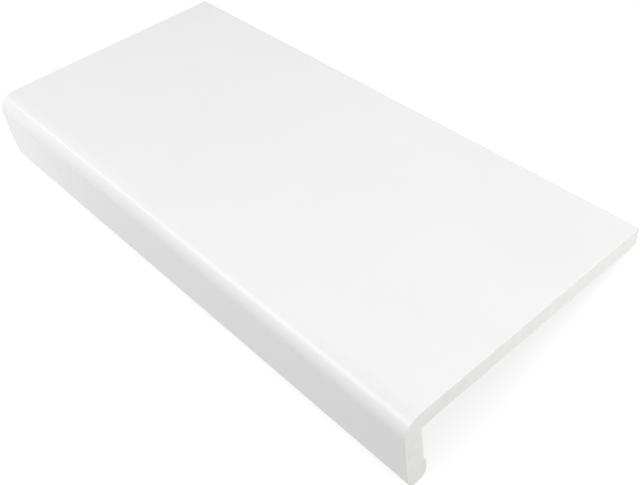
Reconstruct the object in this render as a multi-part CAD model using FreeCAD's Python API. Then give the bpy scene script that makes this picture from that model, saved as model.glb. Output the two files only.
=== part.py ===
"""Window sill board: one foamed-plastic extrusion, a flat board with a rounded nose and a downturned leg.

The section is drawn level, in millimetres, with depth measured backwards from the foremost line of the nose
and height measured up from the top face. It is extruded along the length, and the finished board is then laid
on a level floor as it rests unheld: on the lip of its leg and on the lower edge of its back.
"""

import FreeCAD
import Part
import math
import os

from FreeCAD import Vector

# The board
LENGTH = 323.0  # saw cut to saw cut
DEPTH = 150.0  # front of the nose to the back edge
THICKNESS = 9.5  # of the flat board
EDGE_RADIUS = 0.5  # softened corners of the back edge

# The front of the nose
NOSE_HEIGHT = 44.0  # top face to the underside of the lip
NOSE_RADIUS = 10.0  # round from the top face into the front
BOW_RADIUS = 190.0  # the front face bows slightly outwards
BOW_DROP = 14.0  # its foremost line, below the top face

# The back of the leg
LEG_THICKNESS = 9.4  # at the inner corner
LEG_FLARE = 4.0  # degrees by which the back of the leg runs backwards on its way down
INNER_RADIUS = 1.0  # corner between the underside and the leg

# The bead along the lip
BEAD_DROP = 30.8  # where its shoulder starts, below the top face
BEAD_PROJECTION = 1.4  # how far it stands behind the leg
SHOULDER_HEIGHT = 3.5  # slope between leg and bead
SHOULDER_RADIUS = 1.5
LIP_FRONT_RADIUS = 5.0
LIP_BACK_RADIUS = 4.2

ALONG = Vector(1, 0, 0)  # direction of the length


def front_depth(drop):
    """Depth of the bowed front face at a drop below the top face."""
    return BOW_RADIUS - math.sqrt(BOW_RADIUS**2 - (drop - BOW_DROP) ** 2)


def leg_back_depth(drop):
    """Depth of the leg's flared back face at a drop below the top face."""
    return LEG_THICKNESS + (drop - THICKNESS) * math.tan(math.radians(LEG_FLARE))


def bead_back_depth():
    """Depth of the upright back of the bead."""
    return leg_back_depth(BEAD_DROP) + BEAD_PROJECTION


def lip_radii():
    """Front and back radius of the lip, which together are no wider than the lip itself."""
    width = bead_back_depth() - front_depth(NOSE_HEIGHT)
    share = min(1.0, width / (LIP_FRONT_RADIUS + LIP_BACK_RADIUS))
    return LIP_FRONT_RADIUS * share, LIP_BACK_RADIUS * share


def section_corners():
    """Sharp corners of the section and the radius of each, from the top of the nose round by the back."""
    lip_front, lip_back = lip_radii()
    return [
        (front_depth(0), 0, NOSE_RADIUS),
        (DEPTH, 0, EDGE_RADIUS),
        (DEPTH, -THICKNESS, EDGE_RADIUS),
        (LEG_THICKNESS, -THICKNESS, INNER_RADIUS),
        (leg_back_depth(BEAD_DROP), -BEAD_DROP, SHOULDER_RADIUS),
        (bead_back_depth(), -BEAD_DROP - SHOULDER_HEIGHT, SHOULDER_RADIUS),
        (bead_back_depth(), -NOSE_HEIGHT, lip_back),
        (front_depth(NOSE_HEIGHT), -NOSE_HEIGHT, lip_front),
    ]


def section_face():
    """The section as a plane face: straight sides and the bowed front, with every corner rounded."""
    corners = section_corners()
    points = [Vector(0, depth, height) for depth, height, _ in corners]
    sides = [Part.makeLine(a, b) for a, b in zip(points, points[1:])]
    sides.append(Part.Arc(points[-1], Vector(0, 0, -BOW_DROP), points[0]).toShape())
    plane = Part.Plane(Vector(0, 0, 0), ALONG * -1)
    rounds = []
    for i, (_, _, radius) in enumerate(corners):
        fillet = Part.ChFi2d.FilletAPI(sides[i - 1], sides[i], plane)
        fillet.perform(radius)
        arc, sides[i - 1], sides[i] = fillet.result(points[i])
        rounds.append(arc)
    return Part.Face(Part.Wire(Part.__sortEdges__(sides + rounds)))


def lie_angle():
    """Angle, in degrees, by which the board leans back when its lip and its back edge both touch the floor.

    The floor is the common tangent of two rounds of the section: the back of the lip and the lower back edge.
    """
    _, lip_back = lip_radii()
    run = (DEPTH - EDGE_RADIUS) - (bead_back_depth() - lip_back)
    rise = (EDGE_RADIUS - THICKNESS) - (lip_back - NOSE_HEIGHT)
    return math.degrees(math.atan2(rise, run) + math.asin((lip_back - EDGE_RADIUS) / math.hypot(run, rise)))


def sill_board():
    """The board as it lies: its length centred on X, its nose towards -Y, resting on z = 0 about the origin."""
    board = section_face().extrude(ALONG * LENGTH)
    board.rotate(Vector(0, 0, 0), ALONG, -lie_angle())
    box = board.optimalBoundingBox(False, False)
    board.translate(Vector(-box.Center.x, -box.Center.y, -box.ZMin))
    return board


os.makedirs("parts", exist_ok=True)
board = sill_board()
board.exportStep("parts/sill_board.step")
print("leans back", round(lie_angle(), 2), "degrees, volume", round(board.Volume), "mm3")
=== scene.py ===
"""Looks of the window sill board: a foamed-plastic extrusion with a satin white skin and matt, sawn ends.

The board is built again as one fine mesh from its section, in metres, and lies where the solid lies. Its skin
has the faint waviness and draw lines of an extrusion, and its ends have the shallow marks of a saw.
"""

import math

import bmesh
import bpy
import numpy as np
from mathutils import Euler, Matrix, Vector, geometry, noise


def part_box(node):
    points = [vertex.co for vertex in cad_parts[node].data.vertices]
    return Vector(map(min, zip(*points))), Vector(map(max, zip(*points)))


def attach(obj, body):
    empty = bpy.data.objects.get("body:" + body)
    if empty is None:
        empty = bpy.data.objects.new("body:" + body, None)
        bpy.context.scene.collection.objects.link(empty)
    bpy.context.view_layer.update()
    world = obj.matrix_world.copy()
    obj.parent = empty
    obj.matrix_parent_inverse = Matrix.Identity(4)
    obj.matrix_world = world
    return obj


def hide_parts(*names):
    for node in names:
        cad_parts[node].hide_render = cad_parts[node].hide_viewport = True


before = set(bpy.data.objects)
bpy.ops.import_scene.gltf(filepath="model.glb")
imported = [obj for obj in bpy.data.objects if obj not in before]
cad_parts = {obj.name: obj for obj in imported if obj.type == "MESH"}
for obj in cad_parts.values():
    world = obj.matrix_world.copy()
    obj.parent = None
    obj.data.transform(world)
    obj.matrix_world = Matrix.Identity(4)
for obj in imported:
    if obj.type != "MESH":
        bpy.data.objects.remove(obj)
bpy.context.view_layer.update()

NODE = "sill_board"

# Section of the board, drawn level: depth runs backwards from the nose and height up from the top face
DEPTH = 0.150
THICKNESS = 0.0095
EDGE_RADIUS = 0.0005
NOSE_HEIGHT = 0.044
NOSE_RADIUS = 0.010
BOW_RADIUS = 0.190
BOW_DROP = 0.014
LEG_THICKNESS = 0.0094
LEG_FLARE = math.radians(4.0)
INNER_RADIUS = 0.001
BEAD_DROP = 0.0308
BEAD_PROJECTION = 0.0014
SHOULDER_HEIGHT = 0.0035
SHOULDER_RADIUS = 0.0015
LIP_FRONT_RADIUS = 0.005
LIP_BACK_RADIUS = 0.0042
UPWARDS = math.pi / 2  # directions in the section, as angles
DOWNWARDS = 1.5 * math.pi

# Fineness of the mesh
ARC_STEP = math.radians(4.0)
RUN_STEP = 0.004
STATION_STEP = 0.004
SUPPORT = 0.0004  # distance of a holding line from the start of a round
SAME_POINT = 1e-6  # two rounds that meet closer than this share a point
ARRIS = 0.00015  # softened edge round each sawn end
ARRIS_STEPS = 3
CAP_STEP = 0.0006  # spacing of the points inside a sawn end
CAP_ROWS = math.sqrt(0.75)  # distance of their rows, as a share of that spacing
INSIDE_ONLY = 1  # the triangulation keeps only what lies inside the outline
TRIANGULATION_LIMIT = 1e-9  # points closer than this count as one

# Relief
WAVE_HEIGHT = 0.00003  # waviness of the skin
WAVE_LENGTH = 0.045
WAVE_ACROSS = 0.018
SAW_DEPTH = 0.00004  # marks of the blade on the ends
SAW_PITCH = 0.0022
BLADE_RADIUS = 0.125

# Skin
SKIN_COLOURS = ((0.865, 0.865, 0.865), (0.885, 0.885, 0.885))
SKIN_ROUGHNESS = (0.20, 0.28)
SKIN_IOR = 1.54
SKIN_BUMP = 0.10
SKIN_BUMP_HEIGHT = 0.00004
CLOUD_SCALE, CLOUD_DETAIL = 16.0, 4.0
PEEL_SCALE, PEEL_DETAIL = 900.0, 2.0
DRAW_STRETCH, DRAW_DETAIL = (5.0, 700.0, 700.0), 3.0

# Sawn ends
SAWN_COLOURS = ((0.800, 0.803, 0.780), (0.845, 0.848, 0.828))
SAWN_ROUGHNESS = (0.62, 0.82)
SAWN_BUMP_HEIGHT = 0.00006
BLADE_BUMP = 0.25
CELL_BUMP = 0.30
MOTTLE_SCALE, MOTTLE_DETAIL = 160.0, 5.0
BLADE_STRETCH, BLADE_DETAIL = (1.0, 1800.0, 60.0), 3.0
CELL_SCALE = 2800.0

# Patterns
UNSCALED = 1.0  # scale of a pattern on a place that is already stretched
RAMP_START, RAMP_END = 0.3, 0.7  # the part of a pattern's range over which its colours change

# Camera, fitted to the board's edges in the photograph; angles in degrees, lens and sensor in millimetres
CAMERA_AIM = Vector((0.05598, -0.02009, 0.022))
CAMERA_DISTANCE = 0.42055
CAMERA_AZIMUTH = 63.884
CAMERA_ELEVATION = 50.041
CAMERA_ROLL = -22.496
SENSOR_WIDTH = 36.0
LENS = 50.368

# Floor and light from all round
FLOOR_DROP = 0.0002
FLOOR_HALF = 3.0
FLOOR_COLOUR = (0.30, 0.30, 0.30, 1.0)
FLOOR_GLOW = 0.78  # with its lit colour, this brings the floor to white
WORLD_LIGHT = 0.68
WHITE = (1.0, 1.0, 1.0, 1.0)

# Lamps: place, point faced, direction of the first side, both sides, power in watts and beam in degrees
LEVEL = (1.0, 0.0, 0.0)
ACROSS = (0.0, 1.0, 0.0)
WIDE_BEAM = 180.0
NARROW_BEAM = 90.0
LAMPS = {
    "overhead": ((0.18, 0.13, 0.50), (0.18, 0.13, 0.0), LEVEL, (0.32, 0.40), 0.63, WIDE_BEAM),
    "near_end": ((0.50, 0.10, 0.04), (0.16, 0.01, 0.015), ACROSS, (0.20, 0.06), 0.60, WIDE_BEAM),
    "far_end": ((-0.60, 0.0, 0.026), (-0.16, 0.0, 0.02), ACROSS, (0.24, 0.04), 0.34, WIDE_BEAM),
    "behind": ((0.16, 0.62, 0.03), (0.04, 0.077, 0.005), LEVEL, (0.50, 0.05), 0.34, WIDE_BEAM),
    "near_strip": (
        (-0.17, -0.415, 0.465), (-0.17, -0.07, 0.03), (-0.50, 0.05, 0.04),
        (0.50, 0.22), 0.77, WIDE_BEAM,
    ),
    "far_strip": (
        (-0.675, -0.3425, 0.5175), (-0.675, -0.07, 0.03), (-0.55, 0.115, 0.085),
        (0.57, 0.07), 0.42, WIDE_BEAM,
    ),
    "far_panel": ((-0.17, -0.22, 0.025), (-0.17, -0.075, 0.02), LEVEL, (0.06, 0.04), 0.0085, NARROW_BEAM),
}


# Section outline

def arc(centre, radius, start, end):
    """Points and outward normals along an arc; one that runs clockwise is hollow."""
    turn = end - start
    steps = max(math.ceil(abs(turn) / ARC_STEP), math.ceil(abs(turn) * radius / RUN_STEP))
    side = math.copysign(1.0, turn)
    for i in range(steps + 1):
        angle = start + turn * i / steps
        direction = Vector((math.cos(angle), math.sin(angle)))
        yield centre + direction * radius, direction * side


def run(start, end):
    """Points and outward normals along a straight run, between the holding lines near its two ends."""
    along = end - start
    normal = Vector((along.y, -along.x)).normalized()
    inner = along.length - 2 * SUPPORT
    if inner <= 0:
        return
    steps = max(1, math.ceil(inner / RUN_STEP))
    for i in range(steps + 1):
        yield start + along.normalized() * (SUPPORT + inner * i / steps), normal


def corner_arc(before, corner, after, radius):
    """The round in a corner between two straight sides."""
    back = (before - corner).normalized()
    ahead = (after - corner).normalized()
    half = back.angle(ahead) / 2
    centre = corner + (back + ahead).normalized() * radius / math.sin(half)
    first = corner + back * radius / math.tan(half) - centre
    last = corner + ahead * radius / math.tan(half) - centre
    start = math.atan2(first.y, first.x)
    turn = math.atan2(last.y, last.x) - start
    turn = (turn + math.pi) % math.tau - math.pi
    return centre, radius, start, start + turn


def bow_tangent(height, radius):
    """Centre, at a height, of a round that touches the bowed front from inside, and the angle there."""
    rise = height + BOW_DROP
    reach = math.sqrt((BOW_RADIUS - radius) ** 2 - rise**2)
    return Vector((BOW_RADIUS - reach, height)), math.pi - math.atan2(rise, reach)


def leg_back(drop):
    """Depth of the flared back of the leg at a drop below the top face."""
    return LEG_THICKNESS + (drop - THICKNESS) * math.tan(LEG_FLARE)


def section_arcs():
    """Every round of the section in order: down the front, under the lip and round by the back."""
    nose, nose_end = bow_tangent(-NOSE_RADIUS, NOSE_RADIUS)
    lip, lip_start = bow_tangent(LIP_FRONT_RADIUS - NOSE_HEIGHT, LIP_FRONT_RADIUS)
    bow = Vector((BOW_RADIUS, -BOW_DROP))
    bead = leg_back(BEAD_DROP) + BEAD_PROJECTION
    corners = [
        (Vector((lip.x, -NOSE_HEIGHT)), 0.0),
        (Vector((bead, -NOSE_HEIGHT)), LIP_BACK_RADIUS),
        (Vector((bead, -BEAD_DROP - SHOULDER_HEIGHT)), SHOULDER_RADIUS),
        (Vector((leg_back(BEAD_DROP), -BEAD_DROP)), SHOULDER_RADIUS),
        (Vector((LEG_THICKNESS, -THICKNESS)), INNER_RADIUS),
        (Vector((DEPTH, -THICKNESS)), EDGE_RADIUS),
        (Vector((DEPTH, 0.0)), EDGE_RADIUS),
        (Vector((nose.x, 0.0)), 0.0),
    ]
    arcs = [
        (nose, NOSE_RADIUS, UPWARDS, nose_end),
        (bow, BOW_RADIUS, nose_end, lip_start),
        (lip, LIP_FRONT_RADIUS, lip_start, DOWNWARDS),
    ]
    for (before, _), (corner, radius), (after, _) in zip(corners, corners[1:], corners[2:]):
        arcs.append(corner_arc(before, corner, after, radius))
    return arcs


def section_outline():
    """Points and outward normals round the section, anticlockwise, without repeats."""
    stretches = [list(arc(*a)) for a in section_arcs()]
    outline = []
    for this, following in zip(stretches, stretches[1:] + stretches[:1]):
        outline += this
        start, end = this[-1][0], following[0][0]
        if (end - start).length > SAME_POINT:
            outline += run(start, end)
        else:
            outline.pop()
    return outline


# The board

def lie_angle():
    """Angle at which the board leans back, resting on the back round of its lip and its lower back edge."""
    run_back = (DEPTH - EDGE_RADIUS) - (leg_back(BEAD_DROP) + BEAD_PROJECTION - LIP_BACK_RADIUS)
    rise = (EDGE_RADIUS - THICKNESS) - (LIP_BACK_RADIUS - NOSE_HEIGHT)
    spare = (LIP_BACK_RADIUS - EDGE_RADIUS) / math.hypot(run_back, rise)
    return math.atan2(rise, run_back) + math.asin(spare)


def laying(outline):
    """A function that takes a place along the length and a level section point to the point in the frame."""
    cos, sin = math.cos(lie_angle()), math.sin(lie_angle())

    def turned(p):
        return p.x * cos + p.y * sin, p.y * cos - p.x * sin

    places = [turned(p) for p, _ in outline]
    middle = (min(y for y, _ in places) + max(y for y, _ in places)) / 2
    bottom = min(z for _, z in places)

    def lay(along, p):
        y, z = turned(p)
        return Vector((along, y - middle, z - bottom))

    return lay


def stations(half):
    """Places along the length, from one end to the other, and how far the outline is drawn in there."""
    ends = []
    for i in range(ARRIS_STEPS + 1):
        angle = math.pi / 2 * (1 - i / ARRIS_STEPS)
        ends.append((half - ARRIS * (1 - math.sin(angle)), ARRIS * (1 - math.cos(angle))))
    inner = half - ARRIS - SUPPORT
    count = round(2 * inner / STATION_STEP)
    middle = [(-inner + 2 * inner * i / count, 0.0) for i in range(count + 1)]
    return [(-x, inset) for x, inset in ends] + middle + ends[::-1]


def waviness(along, p):
    """Faint unevenness of the extruded skin."""
    return WAVE_HEIGHT * noise.noise(Vector((along / WAVE_LENGTH, p.x / WAVE_ACROSS, p.y / WAVE_ACROSS)))


def saw_marks(p):
    """Depth of the blade's shallow, slightly curved marks at a point of a sawn end."""
    sweep = (p.x + p.y**2 / (2 * BLADE_RADIUS)) / SAW_PITCH
    return SAW_DEPTH * (0.5 + 0.5 * noise.noise(Vector((sweep, p.y / NOSE_HEIGHT, 0.0))))


def row_inside(edge, after, depths, height):
    """Which points of a level row lie inside the outline: an odd number of its sides is before them."""
    spans = (edge[:, 1] > height) != (after[:, 1] > height)
    a, b = edge[spans], after[spans]
    meets = a[:, 0] + (height - a[:, 1]) * (b[:, 0] - a[:, 0]) / (b[:, 1] - a[:, 1])
    return (depths[:, None] > meets).sum(axis=1) % 2 == 1


def row_gaps(edge, after, depths, height):
    """Distance of each point of a level row from the outline."""
    side = after - edge
    from_edge = np.stack([depths, np.full_like(depths, height)], axis=1)[:, None] - edge
    share = np.clip((from_edge * side).sum(axis=2) / (side**2).sum(axis=1), 0, 1)
    return np.linalg.norm(from_edge - share[..., None] * side, axis=2).min(axis=1)


def points_inside(ring):
    """Points on a staggered grid inside a sawn end, clear of its outline."""
    edge = np.array([[p.x, p.y] for p in ring])
    after = np.roll(edge, -1, axis=0)
    low, high = edge.min(axis=0), edge.max(axis=0)
    grid = []
    for i, height in enumerate(np.arange(low[1] + CAP_STEP, high[1], CAP_STEP * CAP_ROWS)):
        depths = np.arange(low[0] + CAP_STEP * (1 + i % 2 / 2), high[0], CAP_STEP)
        clear = row_gaps(edge, after, depths, height) > CAP_STEP / 2
        grid += [Vector((d, height)) for d in depths[row_inside(edge, after, depths, height) & clear]]
    return grid


def add_cap(bm, ring_points, ring_verts, lay, end):
    """Closes one end of the board with a sawn face; end is its place along the length."""
    side = math.copysign(1.0, end)
    inner = points_inside(ring_points)
    verts = ring_verts + [bm.verts.new(lay(end - side * saw_marks(p), p)) for p in inner]
    rim = list(range(len(ring_points)))
    _, _, faces, sources, _, _ = geometry.delaunay_2d_cdt(
        ring_points + inner, [], [rim], INSIDE_ONLY, TRIANGULATION_LIMIT
    )
    for corners in faces:
        corners = [verts[sources[i][0]] for i in corners]
        face = bm.faces.new(corners if side > 0 else corners[::-1])
        face.material_index = 1


def board_mesh():
    """The whole board as one closed mesh: skin in the first material, sawn ends in the second."""
    outline = section_outline()
    lay = laying(outline)
    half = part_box(NODE)[1].x
    bm = bmesh.new()
    rings = []
    for along, inset in stations(half):
        points = [p + n * (waviness(along, p) - inset) for p, n in outline]
        rings.append((points, [bm.verts.new(lay(along, p)) for p in points], inset > 0))
    for (_, this, this_sawn), (_, that, that_sawn) in zip(rings, rings[1:]):
        for i in range(len(outline)):
            face = bm.faces.new((this[i - 1], this[i], that[i], that[i - 1]))
            face.material_index = int(this_sawn or that_sawn)
    add_cap(bm, rings[0][0], rings[0][1], lay, -half)
    add_cap(bm, rings[-1][0], rings[-1][1], lay, half)
    for face in bm.faces:
        face.smooth = True
    mesh = bpy.data.meshes.new(NODE + "_skin")
    bm.to_mesh(mesh)
    bm.free()
    return mesh


# Materials

def new_material(name):
    """A node material, and a function that adds a node to it with its inputs linked or set."""
    material = bpy.data.materials.new(name)
    material.use_nodes = True
    tree = material.node_tree

    def add(kind, inputs=()):
        node = tree.nodes.new(kind)
        for key, value in dict(inputs).items():
            if isinstance(value, bpy.types.NodeSocket):
                tree.links.new(value, node.inputs[key])
            else:
                node.inputs[key].default_value = value
        return node

    return material, add


def noise_pattern(add, place, scale, detail):
    """A noise pattern of a scale and a detail."""
    return add("ShaderNodeTexNoise", {"Vector": place, "Scale": scale, "Detail": detail}).outputs["Fac"]


def colour_ramp(add, pattern, colours):
    """A ramp between two colours over the middle of a pattern's range."""
    ramp = add("ShaderNodeValToRGB", {"Fac": pattern})
    for stop, position, colour in zip(ramp.color_ramp.elements, (RAMP_START, RAMP_END), colours):
        stop.position = position
        stop.color = (*colour, 1.0)
    return ramp.outputs["Color"]


def value_range(add, pattern, values):
    """A value that follows a pattern between two limits."""
    spread = add("ShaderNodeMapRange", {"Value": pattern, "To Min": values[0], "To Max": values[1]})
    return spread.outputs["Result"]


def two_bumps(add, first, first_strength, second, second_strength, height):
    """The normal of one bump pattern with a second one on it."""
    under = add("ShaderNodeBump", {"Height": first, "Strength": first_strength, "Distance": height})
    inputs = {"Height": second, "Strength": second_strength, "Distance": height}
    return add("ShaderNodeBump", {**inputs, "Normal": under.outputs["Normal"]}).outputs["Normal"]


def link_surface(material, colour, roughness, normal):
    """Links a surface's colour, roughness and normal to the material's shader, and returns the shader."""
    shader = material.node_tree.nodes["Principled BSDF"]
    for key, value in (("Base Color", colour), ("Roughness", roughness), ("Normal", normal)):
        material.node_tree.links.new(value, shader.inputs[key])
    return shader


def skin_material():
    """Satin white extruded skin: draw lines along the length and a fine orange peel."""
    material, add = new_material("satin_white_skin")
    place = add("ShaderNodeTexCoord").outputs["Object"]
    stretched = add("ShaderNodeMapping", {"Vector": place, "Scale": DRAW_STRETCH}).outputs["Vector"]
    draw_lines = noise_pattern(add, stretched, UNSCALED, DRAW_DETAIL)
    peel = noise_pattern(add, place, PEEL_SCALE, PEEL_DETAIL)
    cloud = noise_pattern(add, place, CLOUD_SCALE, CLOUD_DETAIL)
    shader = link_surface(
        material,
        colour_ramp(add, cloud, SKIN_COLOURS),
        value_range(add, cloud, SKIN_ROUGHNESS),
        two_bumps(add, draw_lines, SKIN_BUMP, peel, SKIN_BUMP, SKIN_BUMP_HEIGHT),
    )
    shader.inputs["IOR"].default_value = SKIN_IOR
    return material


def sawn_material():
    """Matt sawn foam: fine cells, blade marks and a faint warm mottling."""
    material, add = new_material("matt_sawn_foam")
    place = add("ShaderNodeTexCoord").outputs["Object"]
    turn = (lie_angle(), 0.0, 0.0)
    level = add("ShaderNodeMapping", {"Vector": place, "Rotation": turn, "Scale": BLADE_STRETCH})
    blade = noise_pattern(add, level.outputs["Vector"], UNSCALED, BLADE_DETAIL)
    cells = add("ShaderNodeTexVoronoi", {"Vector": place, "Scale": CELL_SCALE}).outputs["Distance"]
    mottle = noise_pattern(add, place, MOTTLE_SCALE, MOTTLE_DETAIL)
    link_surface(
        material,
        colour_ramp(add, mottle, SAWN_COLOURS),
        value_range(add, mottle, SAWN_ROUGHNESS),
        two_bumps(add, blade, BLADE_BUMP, cells, CELL_BUMP, SAWN_BUMP_HEIGHT),
    )
    return material


def add_board():
    """The board as the one visible piece, standing for the solid."""
    board = bpy.data.objects.new(NODE + "_skin", board_mesh())
    bpy.context.scene.collection.objects.link(board)
    board.data.materials.append(skin_material())
    board.data.materials.append(sawn_material())
    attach(board, "root")
    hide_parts(NODE)


# Stage

def seen_directly(tree):
    """A factor that is 1 for what the camera sees, directly, in a reflection or through glass."""
    path = tree.nodes.new("ShaderNodeLightPath")
    total = path.outputs["Is Camera Ray"]
    for ray in ("Is Glossy Ray", "Is Transmission Ray"):
        either = tree.nodes.new("ShaderNodeMath")
        either.operation = "MAXIMUM"
        tree.links.new(total, either.inputs[0])
        tree.links.new(path.outputs[ray], either.inputs[1])
        total = either.outputs["Value"]
    return total


def show_when_seen(tree, plain, shown, output):
    """Ends a material or world in two looks: one for the light it gives, one for what the camera sees."""
    mix = tree.nodes.new("ShaderNodeMixShader")
    tree.links.new(seen_directly(tree), mix.inputs["Fac"])
    tree.links.new(plain, mix.inputs[1])
    tree.links.new(shown, mix.inputs[2])
    tree.links.new(mix.outputs["Shader"], tree.nodes[output].inputs["Surface"])


def floor_material():
    """A pale floor that shows as white and keeps a shadow."""
    material = bpy.data.materials.new("white_floor")
    material.use_nodes = True
    tree = material.node_tree
    tree.nodes.remove(tree.nodes["Principled BSDF"])
    plain = tree.nodes.new("ShaderNodeBsdfDiffuse")
    plain.inputs["Color"].default_value = FLOOR_COLOUR
    glow = tree.nodes.new("ShaderNodeEmission")
    glow.inputs["Strength"].default_value = FLOOR_GLOW
    shown = tree.nodes.new("ShaderNodeAddShader")
    tree.links.new(plain.outputs["BSDF"], shown.inputs[0])
    tree.links.new(glow.outputs["Emission"], shown.inputs[1])
    show_when_seen(tree, plain.outputs["BSDF"], shown.outputs["Shader"], "Material Output")
    return material


def add_floor():
    """A level floor just under the board."""
    mesh = bpy.data.meshes.new("floor")
    signs = ((-1, -1), (1, -1), (1, 1), (-1, 1))
    mesh.from_pydata([(x * FLOOR_HALF, y * FLOOR_HALF, -FLOOR_DROP) for x, y in signs], [], [(0, 1, 2, 3)])
    mesh.materials.append(floor_material())
    floor = bpy.data.objects.new("floor", mesh)
    bpy.context.scene.collection.objects.link(floor)


def add_world():
    """Even soft light from all round, shown as white."""
    world = bpy.data.worlds.new("studio")
    bpy.context.scene.world = world
    world.use_nodes = True
    tree = world.node_tree
    light = tree.nodes["Background"]
    light.inputs["Color"].default_value = WHITE
    light.inputs["Strength"].default_value = WORLD_LIGHT
    white = tree.nodes.new("ShaderNodeBackground")
    white.inputs["Color"].default_value = WHITE
    show_when_seen(tree, light.outputs["Background"], white.outputs["Background"], "World Output")


def add_lamp(name, place, aim, along, size, power, beam):
    """A rectangular soft lamp facing a point; its first side lies along a direction."""
    lamp = bpy.data.lights.new(name, "AREA")
    lamp.shape = "RECTANGLE"
    lamp.size, lamp.size_y = size
    lamp.energy = power
    lamp.spread = math.radians(beam)
    holder = bpy.data.objects.new(name, lamp)
    holder.location = place
    holder.visible_camera = False
    back = (Vector(place) - Vector(aim)).normalized()
    side = Vector(along) - back * back.dot(along)
    side.normalize()
    holder.rotation_euler = Matrix((side, back.cross(side), back)).transposed().to_euler()
    bpy.context.scene.collection.objects.link(holder)


def add_lamps():
    """Soft lamps: overhead, low beside both ends and behind, two strips along the nose and a small panel."""
    for name, facts in LAMPS.items():
        add_lamp(name, *facts)


def add_camera():
    """The photograph's camera: where it stands, its lens and its roll."""
    azimuth, elevation = math.radians(CAMERA_AZIMUTH), math.radians(CAMERA_ELEVATION)
    sideways, forwards = math.sin(azimuth), math.cos(azimuth)
    out = Vector((sideways * math.cos(elevation), -forwards * math.cos(elevation), math.sin(elevation)))
    data = bpy.data.cameras.new("camera")
    data.sensor_fit = "HORIZONTAL"
    data.sensor_width = SENSOR_WIDTH
    data.lens = LENS
    camera = bpy.data.objects.new("camera", data)
    camera.location = CAMERA_AIM + out * CAMERA_DISTANCE
    level = (-out).to_track_quat("-Z", "Y")
    roll = Euler((0.0, 0.0, math.radians(CAMERA_ROLL))).to_quaternion()
    camera.rotation_euler = (level @ roll).to_euler()
    bpy.context.scene.collection.objects.link(camera)
    bpy.context.scene.camera = camera


add_board()
add_floor()
add_world()
add_lamps()
add_camera()
bpy.context.scene.view_settings.view_transform = "Standard"
